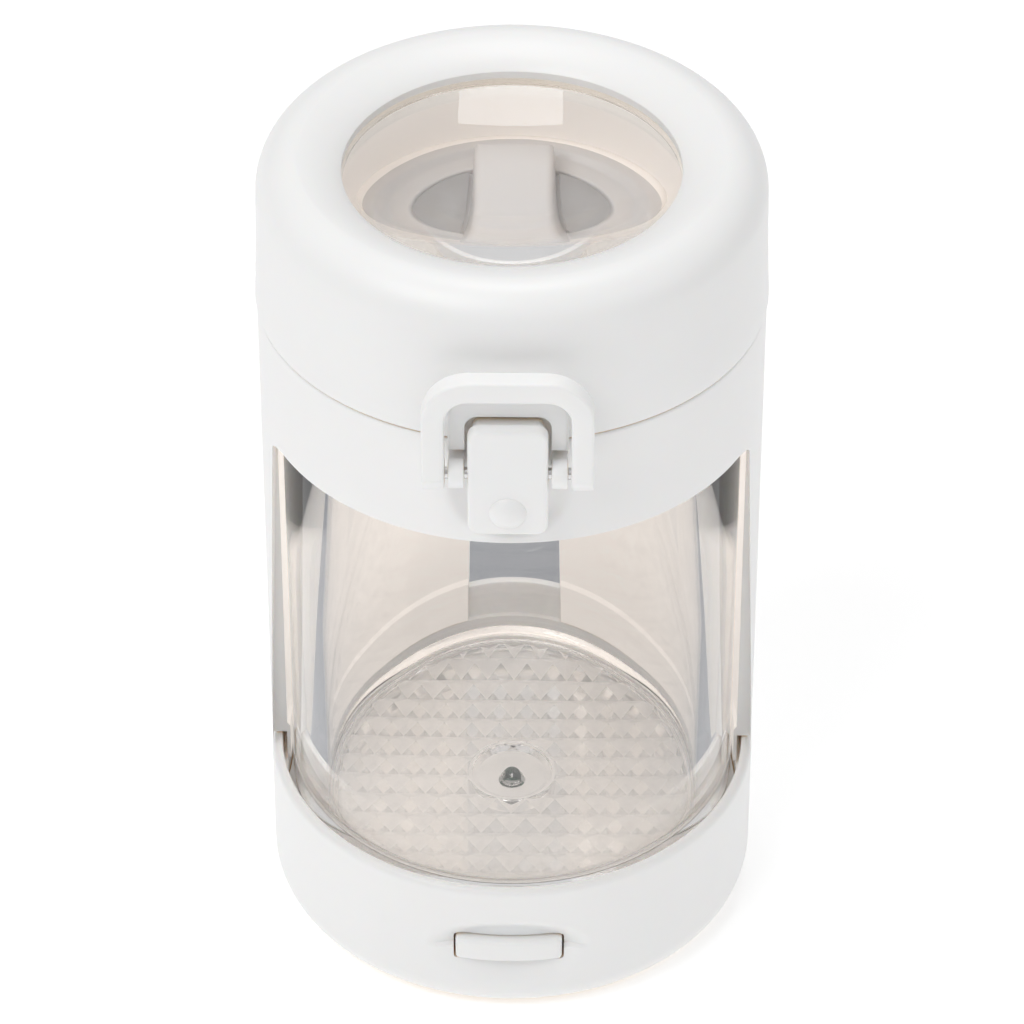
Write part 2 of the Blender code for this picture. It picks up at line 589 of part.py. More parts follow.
# ---- latch ----
def build_latch():
    """Rocking latch button and lock bail on one pin, with a coil spring behind the button's lower half."""
    pin = rod("latch_pin", (0, PIN_Y, PIN_Z), PIN_R, 24.2, "X", SEG_SMALL, bevel=0.15)
    finish(pin, (0.7, 0.7, 0.72), 0.3, 1.0)

    button = plate("latch_button", rounded(5.7, 99.2, 117.4, 1.7), -43.0, -40.5, "Y", bevel=0.45)
    back = plate("back", rounded(5.2, 105.6, 117.0, 1.2), -41.0, -38.7, "Y", CUTTERS, 0.2)
    outline = [(0, 1.15), (1.2, 1.02), (2.2, 0.65), (2.95, 0.0), (2.95, -0.6), (0, -0.6)]
    dome = turned("dome", outline, SEG_SMALL, CUTTERS)
    to_front = Matrix.Translation(Vector((0, -43.0, 103.1)) * MM) @ Matrix.Rotation(math.pi / 2, 4, "X")
    dome.data.transform(to_front)
    join(button, back, dome)
    cut(button, cutter_rod((0, PIN_Y, PIN_Z), PIN_R + 0.05, 30, "X"))
    finish(button, WHITE, 0.3)

    arch = arc((5.4, 119.5), 6.8, 0, 90, 6) + arc((-5.4, 119.5), 6.8, 90, 180, 6)
    arch += [(-12.2, PIN_Z), (-8.95, PIN_Z)]
    arch += arc((-5.45, 119.4), 3.5, 180, 90, 5) + arc((5.45, 119.4), 3.5, 90, 0, 5)
    arch += [(8.95, PIN_Z), (12.2, PIN_Z)]
    bail = plate("lock_bail", arch, -43.5, -40.3, "Y", bevel=0.4, bevel_segments=1)
    for side in (-1, 1):
        join(bail, rod("eye", (side * 10.575, PIN_Y, PIN_Z), 2.4, 3.2, "X", SEG_SMALL, CUTTERS, 0.3))
    cut(bail, cutter_rod((0, PIN_Y, PIN_Z), PIN_R + 0.05, 30, "X"))
    finish(bail, WHITE, 0.3)

    spring = wire("latch_spring", helix((0, -39.0, 103.2), "Y", 1.5, 3, 0.6), 0.2, 1)
    finish(spring, (0.6, 0.6, 0.62), 0.3, 1.0)
    return button, bail


# ---- assembly ----
build_base_shell()
build_base_cover()
build_foot_pad()
build_screws()
light_button = build_light_button()
build_electronics()
build_deck()
build_floor_lens()
ring("floor_seal", 34.0, 31.6, DECK_Z + DECK_T + GAP, JAR_LOW_Z - GAP, (0.8, 0.8, 0.8), 0.6)
build_jar()
ring("jar_seal", 34.0, 30.0, JAR_TOP_Z + 0.25, SEAT_Z - 0.25, (0.8, 0.8, 0.8), 0.6)
build_sleeve()
build_neck_ring()
build_lower_jaw()
turning = build_crusher_top()
lid_pieces = [build_lid_shell(), build_lid_liner(), build_lens(),
              ring("lid_gasket", 33.6, 31.9, PART_Z + 0.3, PART_Z + 2.05, (0.8, 0.8, 0.8), 0.6)]
build_hinge()
latch_button, lock_bail = build_latch()

carry(pivot("lid_hinge_axis", 0, HINGE_Y, HINGE_Z), *lid_pieces)
carry(pivot("latch_button_axis", 0, PIN_Y, PIN_Z), latch_button)
carry(pivot("lock_bail_axis", 0, PIN_Y, PIN_Z), lock_bail)
carry(pivot("crusher_axis", 0, 0, SEAT_Z), *turning)
carry(pivot("light_button_axis", 0, -35, BUTTON_Z), light_button)
carry(pivot("switch_plunger_axis", 0, -30, BUTTON_Z), bpy.data.objects["switch_plunger"])
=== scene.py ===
"""Looks of the pill crusher: white moulded shells, a clear jar, a magnifier lid and a lit base."""

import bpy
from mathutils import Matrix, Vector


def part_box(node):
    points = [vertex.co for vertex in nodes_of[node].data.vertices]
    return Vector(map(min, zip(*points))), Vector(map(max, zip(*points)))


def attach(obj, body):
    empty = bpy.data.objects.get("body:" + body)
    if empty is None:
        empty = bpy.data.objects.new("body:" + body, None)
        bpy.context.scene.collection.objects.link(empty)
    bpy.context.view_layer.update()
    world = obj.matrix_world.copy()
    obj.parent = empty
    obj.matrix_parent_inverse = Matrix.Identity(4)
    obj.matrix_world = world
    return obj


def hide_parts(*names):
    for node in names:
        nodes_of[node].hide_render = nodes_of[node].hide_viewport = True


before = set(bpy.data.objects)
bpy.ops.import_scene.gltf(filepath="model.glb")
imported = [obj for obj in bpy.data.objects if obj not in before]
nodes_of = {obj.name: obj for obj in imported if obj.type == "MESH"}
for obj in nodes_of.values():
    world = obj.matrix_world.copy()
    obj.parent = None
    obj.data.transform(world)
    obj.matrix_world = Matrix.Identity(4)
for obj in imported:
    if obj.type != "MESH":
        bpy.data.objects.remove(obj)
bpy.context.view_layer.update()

import math

import bmesh
import bpy
from mathutils import Matrix, Vector

MM = 0.001

# ---------------------------------------------------------------- camera
# A long portrait lens at a table's edge, a little to the right of the latch and looking down into the lid.
AIM = Vector((0.0, 0.0, 0.06933))
DISTANCE = 0.81015
PITCH = math.radians(38.44)
TURN = math.radians(0.8)
camera_data = bpy.data.cameras.new("camera")
camera_data.lens = 187.5
camera_data.sensor_width = 36.0
camera_data.clip_start = 0.05
camera = bpy.data.objects.new("camera", camera_data)
bpy.context.scene.collection.objects.link(camera)
towards = Vector((math.sin(TURN) * math.cos(PITCH), -math.cos(TURN) * math.cos(PITCH), math.sin(PITCH)))
camera.location = AIM + towards * DISTANCE
camera.rotation_euler = (-towards).to_track_quat("-Z", "Y").to_euler()
bpy.context.scene.camera = camera

# ---------------------------------------------------------------- table and light
# A pale table in a white tent. A broad soft box stands at the upper left front, a faint one at the right and
# one overhead. Seen through clear plastic, the tent is evenly bright, and the table is painted a cool grey
# there: painted shade.
bpy.context.scene.view_settings.view_transform = "Standard"
world = bpy.data.worlds.new("tent")
bpy.context.scene.world = world
world.use_nodes = True
sky = world.node_tree.nodes
sky_links = world.node_tree.links
direction = sky.new("ShaderNodeTexCoord")
height = sky.new("ShaderNodeSeparateXYZ")
sky_links.new(direction.outputs["Generated"], height.inputs[0])
tone = sky.new("ShaderNodeValToRGB")
tone.color_ramp.elements[0].position = 0.0
tone.color_ramp.elements[0].color = (0.47, 0.475, 0.49, 1)
tone.color_ramp.elements[1].position = 0.45
tone.color_ramp.elements[1].color = (1.0, 1.0, 1.0, 1)
sky_links.new(height.outputs["Z"], tone.inputs["Fac"])
sight, through = sky.new("ShaderNodeLightPath"), sky.new("ShaderNodeMix")
through.data_type = "RGBA"
through.inputs["B"].default_value = (1.1, 1.11, 1.13, 1)
sky_links.new(sight.outputs["Is Transmission Ray"], through.inputs["Factor"])
sky_links.new(tone.outputs["Color"], through.inputs["A"])
sky_links.new(through.outputs["Result"], sky["Background"].inputs["Color"])
sky["Background"].inputs["Strength"].default_value = 0.57
bpy.context.scene.cycles.diffuse_bounces = 6
bpy.context.scene.cycles.max_bounces = 20
bpy.context.scene.cycles.glossy_bounces = 14
bpy.context.scene.cycles.transmission_bounces = 16


def lamp(name, place, size, power, colour=(1, 1, 1)):
    """A square soft box aimed at the middle of the object."""
    data = bpy.data.lights.new(name, "AREA")
    data.shape = "SQUARE"
    data.size = size
    data.energy = power
    data.color = colour
    box = bpy.data.objects.new(name, data)
    bpy.context.scene.collection.objects.link(box)
    box.location = place
    box.rotation_euler = (AIM - Vector(place)).to_track_quat("-Z", "Y").to_euler()
    return box


lamp("key_lamp", (-0.42, -0.45, 0.92), 0.55, 3.2)
lamp("fill_lamp", (0.75, -0.35, 0.55), 0.5, 0.5)
lamp("top_lamp", (0.0, 0.20, 0.95), 0.34, 1.6)


def glow(name, place, radius, power):
    """A small soft lamp inside the jar, for the light that soaks in through the white walls."""
    data = bpy.data.lights.new(name, "POINT")
    data.shadow_soft_size = radius
    data.energy = power
    data.color = (1.0, 0.97, 0.94)
    spark = bpy.data.objects.new(name, data)
    bpy.context.scene.collection.objects.link(spark)
    spark.location = place
    spark.visible_camera = False
    spark.visible_glossy = False
    spark.visible_transmission = False
    return spark


glow("low_glow", (-0.006, 0.010, 0.045), 0.012, 0.0065)
glow("high_glow", (-0.007, 0.010, 0.086), 0.008, 0.008).visible_glossy = True

table_mesh = bpy.data.meshes.new("table")
work = bmesh.new()
bmesh.ops.create_grid(work, x_segments=8, y_segments=8, size=6.0)
work.to_mesh(table_mesh)
work.free()
table = bpy.data.objects.new("table", table_mesh)
bpy.context.scene.collection.objects.link(table)
table_paint = bpy.data.materials.new("table_paint")
table_paint.use_nodes = True
top = table_paint.node_tree.nodes
top_links = table_paint.node_tree.links
cloth, painted_shade_cloth = top["Principled BSDF"], top.new("ShaderNodeBsdfDiffuse")
cloth.inputs["Base Color"].default_value = (0.96, 0.96, 0.96, 1)
cloth.inputs["Roughness"].default_value = 0.7
cloth.inputs["Emission Color"].default_value = (1, 1, 1, 1)
cloth.inputs["Emission Strength"].default_value = 0.26
# painted shade: rays that come through clear plastic see the table in a cool grey instead of its white
painted_shade_cloth.inputs["Color"].default_value = (0.33, 0.345, 0.375, 1)
ray, either_cloth = top.new("ShaderNodeLightPath"), top.new("ShaderNodeMixShader")
top_links.new(ray.outputs["Is Transmission Ray"], either_cloth.inputs[0])
top_links.new(cloth.outputs[0], either_cloth.inputs[1])
top_links.new(painted_shade_cloth.outputs[0], either_cloth.inputs[2])
top_links.new(either_cloth.outputs[0], top["Material Output"].inputs["Surface"])
table_mesh.materials.append(table_paint)

# ---------------------------------------------------------------- base shell
# Cup-shaped housing of white moulded plastic. An oval dish at the front holds the light button, and a slot
# at the back lets the charging plug in. The sleeve plugs into its top edge.
BASE_R = 37.6
BASE_TOP = 25.5
BASE_LOW = 0.4
DISH_Z = 12.7
FOOT_FILLET = 5.4


def grain_group():
    """Fine moulding grain and slow unevenness: gives a tint factor, a roughness and a height."""
    group = bpy.data.node_groups.new("moulding_grain", "ShaderNodeTree")
    settings = {"Grain Scale": 3000.0, "Cloud Scale": 60.0, "Roughness": 0.35, "Spread": 0.08}
    for name, value in settings.items():
        socket = group.interface.new_socket(name, in_out="INPUT", socket_type="NodeSocketFloat")
        socket.default_value = value
    for name in ("Cloud", "Roughness", "Height"):
        group.interface.new_socket(name, in_out="OUTPUT", socket_type="NodeSocketFloat")
    nodes, links = group.nodes, group.links
    entry, leave = nodes.new("NodeGroupInput"), nodes.new("NodeGroupOutput")
    place = nodes.new("ShaderNodeTexCoord")
    fine, cloud = nodes.new("ShaderNodeTexNoise"), nodes.new("ShaderNodeTexNoise")
    cloud.inputs["Detail"].default_value = 3.0
    fine.inputs["Detail"].default_value = 2.0
    for texture, scale in ((fine, "Grain Scale"), (cloud, "Cloud Scale")):
        links.new(place.outputs["Object"], texture.inputs["Vector"])
        links.new(entry.outputs[scale], texture.inputs["Scale"])
    centred = nodes.new("ShaderNodeMath")
    centred.operation = "SUBTRACT"
    centred.inputs[1].default_value = 0.5
    links.new(cloud.outputs["Fac"], centred.inputs[0])
    spread = nodes.new("ShaderNodeMath")
    spread.operation = "MULTIPLY_ADD"
    links.new(centred.outputs[0], spread.inputs[0])
    links.new(entry.outputs["Spread"], spread.inputs[1])
    links.new(entry.outputs["Roughness"], spread.inputs[2])
    links.new(cloud.outputs["Fac"], leave.inputs["Cloud"])
    links.new(spread.outputs[0], leave.inputs["Roughness"])
    links.new(fine.outputs["Fac"], leave.inputs["Height"])
    return group


GRAIN = grain_group()


def plastic(name, light, dark, roughness, bump=0.02, skin=0.0, grain=3000.0, coat=0.0):
    """Moulded plastic: a slow drift between two tints, grain in roughness and bump, light soaking in."""
    made = bpy.data.materials.new(name)
    made.use_nodes = True
    nodes, links = made.node_tree.nodes, made.node_tree.links
    shader = nodes["Principled BSDF"]
    shader.inputs["IOR"].default_value = 1.49
    shader.inputs["Coat Weight"].default_value = coat
    shader.inputs["Subsurface Weight"].default_value = skin
    shader.inputs["Subsurface Radius"].default_value = (1.0, 0.62, 0.36)
    shader.inputs["Subsurface Scale"].default_value = 0.0016
    source = nodes.new("ShaderNodeGroup")
    source.node_tree = GRAIN
    source.inputs["Grain Scale"].default_value = grain
    source.inputs["Roughness"].default_value = roughness
    tint = nodes.new("ShaderNodeMix")
    tint.data_type = "RGBA"
    tint.inputs["A"].default_value = (*dark, 1)
    tint.inputs["B"].default_value = (*light, 1)
    links.new(source.outputs["Cloud"], tint.inputs["Factor"])
    links.new(tint.outputs["Result"], shader.inputs["Base Color"])
    links.new(source.outputs["Roughness"], shader.inputs["Roughness"])
    relief = nodes.new("ShaderNodeBump")
    relief.inputs["Strength"].default_value = bump
    relief.inputs["Distance"].default_value = 0.0001
    links.new(source.outputs["Height"], relief.inputs["Height"])
    links.new(relief.outputs["Normal"], shader.inputs["Normal"])
    return made


def bow(across, up, radius, start, end, steps=8):
    """Points on an arc about (across, up), in mm, from one angle to another in degrees."""
    angles = [math.radians(start + (end - start) * step / steps) for step in range(steps + 1)]
    return [(across + radius * math.cos(a), up + radius * math.sin(a)) for a in angles]


def soft_profile(points, radius, steps=3):
    """The closed outline with every corner rounded by up to the given radius, in mm."""
    rounded = []
    count = len(points)
    for index, corner in enumerate(points):
        corner = Vector(corner)
        before, after = Vector(points[index - 1]) - corner, Vector(points[(index + 1) % count]) - corner
        cut = min(radius, before.length * 0.45, after.length * 0.45)
        start, stop = corner + before.normalized() * cut, corner + after.normalized() * cut
        for step in range(steps + 1):
            t = step / steps
            rounded.append(tuple((1 - t) ** 2 * start + 2 * t * (1 - t) * corner + t * t * stop))
    return rounded


def spun(name, outline, turns=192, shape=None, front=0):
    """Turn a closed (r, z) outline about Z, in mm, and let shape() move its points.

    front sets how many columns stand in the 60 degrees that face -Y.
    """
    mesh = bpy.data.meshes.new(name)
    work = bmesh.new()
    columns = [2 * math.pi * k / turns for k in range(turns)]
    if front:
        half = math.radians(30)
        columns = [a for a in columns if abs(a - math.pi) < math.pi - half]
        columns += [half * (2 * k / front - 1) for k in range(front + 1)]
        columns = sorted(a % (2 * math.pi) for a in columns)
    rings = []
    for angle in columns:
        ring = []
        for r, z in outline:
            if shape:
                r, z = shape(r, z, (angle + math.pi) % (2 * math.pi) - math.pi)
            ring.append(work.verts.new((r * math.sin(angle) * MM, -r * math.cos(angle) * MM, z * MM)))
        rings.append(ring)
    for index, ring in enumerate(rings):
        following = rings[(index + 1) % len(rings)]
        for k in range(len(outline)):
            up = (k + 1) % len(outline)
            work.faces.new((ring[k], ring[up], following[up], following[k]))
    bmesh.ops.remove_doubles(work, verts=work.verts, dist=0.0000005)
    bmesh.ops.delete(work, geom=[edge for edge in work.edges if edge.is_wire], context="EDGES")
    bmesh.ops.recalc_face_normals(work, faces=work.faces)
    work.to_mesh(mesh)
    work.free()
    return place(name, mesh)


def place(name, mesh):
    made = bpy.data.objects.new(name, mesh)
    bpy.context.scene.collection.objects.link(made)
    return made


def settle(piece):
    """Apply the piece's modifiers to its mesh."""
    bpy.context.view_layer.update()
    mesh = bpy.data.meshes.new_from_object(piece.evaluated_get(bpy.context.evaluated_depsgraph_get()))
    piece.modifiers.clear()
    piece.data = mesh
    return piece


def merge(piece, tool, operation):
    """Cut, join or intersect the piece with a tool, drop the tool and close any pinhole left."""
    change = piece.modifiers.new("merge", "BOOLEAN")
    change.operation = operation
    change.object = tool
    settle(piece)
    bpy.data.objects.remove(tool, do_unlink=True)
    work = bmesh.new()
    work.from_mesh(piece.data)
    bmesh.ops.holes_fill(work, edges=[edge for edge in work.edges if edge.is_boundary], sides=6)
    work.to_mesh(piece.data)
    work.free()
    return piece


def dress(piece, paint, smooth=30):
    """Put one material on a piece and shade it smooth between its sharp edges."""
    piece.data.materials.clear()
    piece.data.materials.append(paint)
    piece.data.shade_smooth()
    piece.data.set_sharp_from_angle(angle=math.radians(smooth))
    return piece


def block(name, low, high, bevel=0.0, segments=3):
    """A block between two corners, in mm, with rounded edges."""
    mesh = bpy.data.meshes.new(name)
    work = bmesh.new()
    bmesh.ops.create_cube(work, size=1.0)
    bmesh.ops.scale(work, vec=[(b - a) * MM for a, b in zip(low, high)], verts=work.verts)
    bmesh.ops.translate(work, vec=[(a + b) / 2 * MM for a, b in zip(low, high)], verts=work.verts)
    if bevel:
        bmesh.ops.bevel(work, geom=work.edges[:], offset=bevel * MM, segments=segments, profile=0.5,
                        affect="EDGES")
    work.to_mesh(mesh)
    work.free()
    return place(name, mesh)


def swell(x, z, half_width, half_height, rise):
    """0 outside an oval, 1 at its floor; rise sets how much of the oval the slope takes."""
    reach = math.sqrt((x / half_width) ** 2 + (z / half_height) ** 2)
    t = min(1.0, max(0.0, (1.0 - reach) / rise))
    return t * t * (3 - 2 * t)


def dished(r, z, angle):
    """The thumb dish: steep above the button, fading out below it."""
    if r < 36.2 or abs(angle) > 0.5:
        return r, z
    up = z - DISH_Z
    depth = 2.1 * swell(angle * BASE_R, up, 13.4, 6.7 if up > 0 else 7.2, 0.42 if up > 0 else 0.8)
    return r - depth, z


wall = [(BASE_R, 24.3 - 0.45 * k) for k in range(1, 41)]
shell_outline = [(35.95, 25.15)] + [(36.1, 25.4), (36.45, BASE_TOP)] + bow(36.5, 24.4, 1.1, 85, 5, 6) + wall
shell_outline += bow(BASE_R - FOOT_FILLET, BASE_LOW + FOOT_FILLET, FOOT_FILLET, 0, -90, 12)
shell_outline += [(30.6, BASE_LOW), (30.6, 2.7), (28.7, 2.7), (28.7, 3.9), (32.2, 4.0), (34.4, 7.2)]
shell_outline += [(34.4, 14.3), (35.3, 14.5), (35.3, 19.9), (35.95, 20.2)]
base_shell = spun("base_shell_moulded", shell_outline, 192, dished, front=120)
button_hole = block("button_hole", (-8.45, -40, DISH_Z - 2.15), (8.45, -30, DISH_Z + 2.15), 0.5, 2)
merge(base_shell, button_hole, "DIFFERENCE")
socket_hole = block("socket_hole", (-4.8, 33, DISH_Z - 1.6), (4.8, 40, DISH_Z + 2.0), 1.5, 4)
merge(base_shell, socket_hole, "DIFFERENCE")
WHITE_PAINT = plastic("white_plastic", (0.89, 0.89, 0.885), (0.86, 0.86, 0.855), 0.38, skin=0.12)


def paint_warm_gap_shade(paint, reach, tone):
    """Painted shade: a warm brown tint mixed into the colour in narrow gaps between pieces, found by ambient
    occlusion.
    """
    nodes, links = paint.node_tree.nodes, paint.node_tree.links
    gap, amount, both = (nodes.new("ShaderNodeAmbientOcclusion"), nodes.new("ShaderNodeMapRange"),
                         nodes.new("ShaderNodeMix"))
    gap.samples = 8
    gap.inputs["Distance"].default_value = reach * MM
    amount.inputs["From Min"].default_value = 0.05
    amount.inputs["From Max"].default_value = 0.42
    amount.inputs["To Min"].default_value = 0.85
    amount.inputs["To Max"].default_value = 0.0
    both.data_type = "RGBA"
    both.inputs["B"].default_value = (*tone, 1)
    shader = nodes["Principled BSDF"]
    links.new(gap.outputs["AO"], amount.inputs["Value"])
    links.new(amount.outputs["Result"], both.inputs["Factor"])
    links.new(shader.inputs["Base Color"].links[0].from_socket, both.inputs["A"])
    links.new(both.outputs["Result"], shader.inputs["Base Color"])


# painted shade: warm brown in the narrow gaps of the white plastic
paint_warm_gap_shade(WHITE_PAINT, 1.6, (0.80, 0.56, 0.27))
dress(base_shell, WHITE_PAINT, 35)
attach(base_shell, "housing")
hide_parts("base_shell")


def carried(name, paint):
    """A piece whose shape stays as it was made: it only gets its finish."""
    piece = nodes_of[name]
    if not piece.data.materials:
        piece.data.materials.append(paint)
    for index in range(len(piece.data.materials)):
        piece.data.materials[index] = paint
    return piece


def rubber(name, colour, roughness, bump, scale, see=0.0):
    """Matt silicone or rubber with a dusty, slightly pitted skin."""
    made = plastic(name, colour, tuple(c * 0.9 for c in colour), roughness, bump, see, scale)
    made.node_tree.nodes["Principled BSDF"].inputs["Specular IOR Level"].default_value = 0.35
    return made


def metal(name, colour, roughness, stretch, bump=0.05):
    """Plated steel: fine lines drawn out along one direction, which also break up the shine."""
    made = bpy.data.materials.new(name)
    made.use_nodes = True
    nodes, links = made.node_tree.nodes, made.node_tree.links
    shader = nodes["Principled BSDF"]
    shader.inputs["Metallic"].default_value = 1.0
    where, scaled, lines = (nodes.new("ShaderNodeTexCoord"), nodes.new("ShaderNodeMapping"),
                            nodes.new("ShaderNodeTexNoise"))
    scaled.inputs["Scale"].default_value = stretch
    lines.inputs["Scale"].default_value = 400.0
    lines.inputs["Detail"].default_value = 4.0
    links.new(where.outputs["Object"], scaled.inputs["Vector"])
    links.new(scaled.outputs["Vector"], lines.inputs["Vector"])
    tint = nodes.new("ShaderNodeMix")
    tint.data_type = "RGBA"
    tint.inputs["A"].default_value = (*[c * 0.82 for c in colour], 1)
    tint.inputs["B"].default_value = (*colour, 1)
    links.new(lines.outputs["Fac"], tint.inputs["Factor"])
    links.new(tint.outputs["Result"], shader.inputs["Base Color"])
    gloss = nodes.new("ShaderNodeMapRange")
    gloss.inputs["To Min"].default_value = roughness * 0.75
    gloss.inputs["To Max"].default_value = roughness * 1.3
    links.new(lines.outputs["Fac"], gloss.inputs["Value"])
    links.new(gloss.outputs["Result"], shader.inputs["Roughness"])
    relief = nodes.new("ShaderNodeBump")
    relief.inputs["Strength"].default_value = bump
    relief.inputs["Distance"].default_value = 0.0001
    links.new(lines.outputs["Fac"], relief.inputs["Height"])
    links.new(relief.outputs["Normal"], shader.inputs["Normal"])
    return made


carried("base_cover", WHITE_PAINT)
carried("foot_pad", rubber("pad_rubber", (0.28, 0.28, 0.29), 0.85, 0.4, 1800.0))
STEEL = metal("plated_steel", (0.66, 0.67, 0.69), 0.28, (1, 1, 6))
for number in range(1, 5):
    carried(f"base_screw_{number}", STEEL)

# ---------------------------------------------------------------- light button
# A wide white push bar in the dish, curved like the shell. A flange behind the wall keeps it in.
BAR_HALF, BAR_TALL, BAR_FACE = 8.15, 3.8, 37.3


def push_bar():
    """The bar's front follows the shell's curve."""
    mesh = bpy.data.meshes.new("light_button_bar")
    work = bmesh.new()
    bmesh.ops.create_cube(work, size=1.0)
    bmesh.ops.scale(work, vec=(2 * BAR_HALF * MM, 4.6 * MM, BAR_TALL * MM), verts=work.verts)
    bmesh.ops.translate(work, vec=(0, (-BAR_FACE + 2.3) * MM, DISH_Z * MM), verts=work.verts)
    bmesh.ops.bevel(work, geom=work.edges[:], offset=0.55 * MM, segments=4, profile=0.5, affect="EDGES")
    long_edges = [e for e in work.edges if abs(e.verts[0].co.x - e.verts[1].co.x) > 10 * MM]
    bmesh.ops.subdivide_edges(work, edges=long_edges, cuts=23, use_grid_fill=True)
    for vert in work.verts:
        side = vert.co.x / MM
        vert.co.y += (BAR_FACE - math.sqrt(BAR_FACE ** 2 - side ** 2)) * MM
    work.to_mesh(mesh)
    work.free()
    return place("light_button_bar", mesh)


bar = push_bar()
merge(bar, block("flange", (-9.5, -32.9, DISH_Z - 1.2), (9.5, -31.4, DISH_Z + 1.2), 0.2, 2), "UNION")
dress(bar, WHITE_PAINT, 40)
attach(bar, "light_button")
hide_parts("led_button")

# ---------------------------------------------------------------- electronics in the base
# A green board with a side-push switch, a pouch cell on two leads and a charging socket, all in the dark
# under the light deck.
BOARD_PAINT = plastic("solder_mask", (0.03, 0.24, 0.10), (0.02, 0.16, 0.07), 0.35, 0.1, 0.0, 900.0, 0.3)
CELL_PAINT = metal("cell_foil", (0.62, 0.63, 0.66), 0.35, (1, 1, 1), 0.2)
carried("circuit_board", BOARD_PAINT)
carried("battery", CELL_PAINT)
carried("battery_lead_red", plastic("red_lead", (0.55, 0.02, 0.02), (0.45, 0.01, 0.01), 0.4))
BLACK_PAINT = plastic("black_plastic", (0.03, 0.03, 0.03), (0.02, 0.02, 0.02), 0.45)
carried("battery_lead_black", BLACK_PAINT)
carried("switch_plunger", BLACK_PAINT)
carried("switch_body", STEEL)
carried("charging_port", STEEL)

# ---------------------------------------------------------------- light deck and clear floor
# A white deck throws the light up through a clear floor. The floor is cast with rows of small square
# pyramids, a smooth rim, and a round well in which the light stands.
DECK_TOP = 16.0
FLOOR_LOW = 16.3
PITCH_MM, PYRAMID = 4.5, 1.15


def painted_glow(paint, colour, strength):
    """Paint a faint glow into a plastic: painted light, standing for the light that has soaked into it."""
    shader = paint.node_tree.nodes["Principled BSDF"]
    shader.inputs["Emission Color"].default_value = (*colour, 1)
    shader.inputs["Emission Strength"].default_value = strength
    return paint


DECK_GLOW_PAINT = plastic("deck_white", (0.84, 0.83, 0.82), (0.80, 0.79, 0.78), 0.5)
# painted light: the deck glows faintly, for the LED light that fills it
carried("light_deck", painted_glow(DECK_GLOW_PAINT, (1.0, 0.97, 0.94), 0.06))


def clear(name, roughness, tint, scale, bump, ior=1.49):
    """Clear plastic with a faint ripple, as moulded parts have."""
    made = bpy.data.materials.new(name)
    made.use_nodes = True
    nodes, links = made.node_tree.nodes, made.node_tree.links
    shader = nodes["Principled BSDF"]
    shader.inputs["Transmission Weight"].default_value = 1.0
    shader.inputs["IOR"].default_value = ior
    source = nodes.new("ShaderNodeGroup")
    source.node_tree = GRAIN
    source.inputs["Grain Scale"].default_value = scale
    source.inputs["Roughness"].default_value = roughness
    source.inputs["Spread"].default_value = roughness * 0.8
    shade = nodes.new("ShaderNodeMix")
    shade.data_type = "RGBA"
    shade.inputs["A"].default_value = (*tint, 1)
    shade.inputs["B"].default_value = (*[min(1.0, c + 0.006) for c in tint], 1)
    links.new(source.outputs["Cloud"], shade.inputs["Factor"])
    links.new(shade.outputs["Result"], shader.inputs["Base Color"])
    links.new(source.outputs["Roughness"], shader.inputs["Roughness"])
    relief = nodes.new("ShaderNodeBump")
    relief.inputs["Strength"].default_value = bump
    relief.inputs["Distance"].default_value = 0.0001
    links.new(source.outputs["Height"], relief.inputs["Height"])
    links.new(relief.outputs["Normal"], shader.inputs["Normal"])
    path, open_way = nodes.new("ShaderNodeLightPath"), nodes.new("ShaderNodeBsdfTransparent")
    open_way.inputs["Color"].default_value = (*[c ** 0.5 for c in tint], 1)
    either, both = nodes.new("ShaderNodeMath"), nodes.new("ShaderNodeMixShader")
    either.operation = "MAXIMUM"
    links.new(path.outputs["Is Shadow Ray"], either.inputs[0])
    links.new(path.outputs["Is Diffuse Ray"], either.inputs[1])
    links.new(either.outputs[0], both.inputs[0])
    links.new(shader.outputs[0], both.inputs[1])
    links.new(open_way.outputs[0], both.inputs[2])
    links.new(both.outputs[0], nodes["Material Output"].inputs["Surface"])
    return made


def prism_floor():
    """A square field of pyramids, trimmed round, joined to its rim and hub, with the well turned out."""
    mesh = bpy.data.meshes.new("floor_lens_cut")
    work = bmesh.new()
    bmesh.ops.create_grid(work, x_segments=14, y_segments=14, size=PITCH_MM * 7 * MM)
    bmesh.ops.translate(work, vec=(0, 0, 17.15 * MM), verts=work.verts)
    bmesh.ops.poke(work, faces=list(work.faces), offset=PYRAMID * MM)
    skirt = bmesh.ops.extrude_edge_only(work, edges=[e for e in work.edges if e.is_boundary])
    for vert in skirt["geom"]:
        if isinstance(vert, bmesh.types.BMVert):
            vert.co.z = FLOOR_LOW * MM
    bmesh.ops.contextual_create(work, geom=[e for e in work.edges if e.is_boundary])
    bmesh.ops.recalc_face_normals(work, faces=work.faces)
    work.to_mesh(mesh)
    work.free()
    floor = place("floor_lens_cut", mesh)
    merge(floor, spun("trim", [(0.0, 22), (29.6, 22), (29.6, 12), (0.0, 12)], 150), "INTERSECT")
    rim_low, hub_low = FLOOR_LOW + 0.06, FLOOR_LOW + 0.25
    rim_outline = [(29.2, 18.25), (31.1, 18.25), (31.1, rim_low), (29.2, rim_low)]
    rim = spun("rim", soft_profile(rim_outline, 0.3), 128)
    rim.data.transform(Matrix.Rotation(math.radians(0.8), 4, "Z"))
    merge(floor, rim, "UNION")
    merge(floor, spun("hub", [(0.0, 18.25), (6.9, 18.25), (6.9, hub_low), (0.0, hub_low)], 96), "UNION")
    well = [(0.0, 20), (6.35, 20), (6.35, 18.2), (6.2, 18.0), (5.4, 17.5), (2.6, 16.9), (1.85, 16.8)]
    well += [(1.85, 15), (0.0, 15)]
    return merge(floor, spun("well", well, 96), "DIFFERENCE")


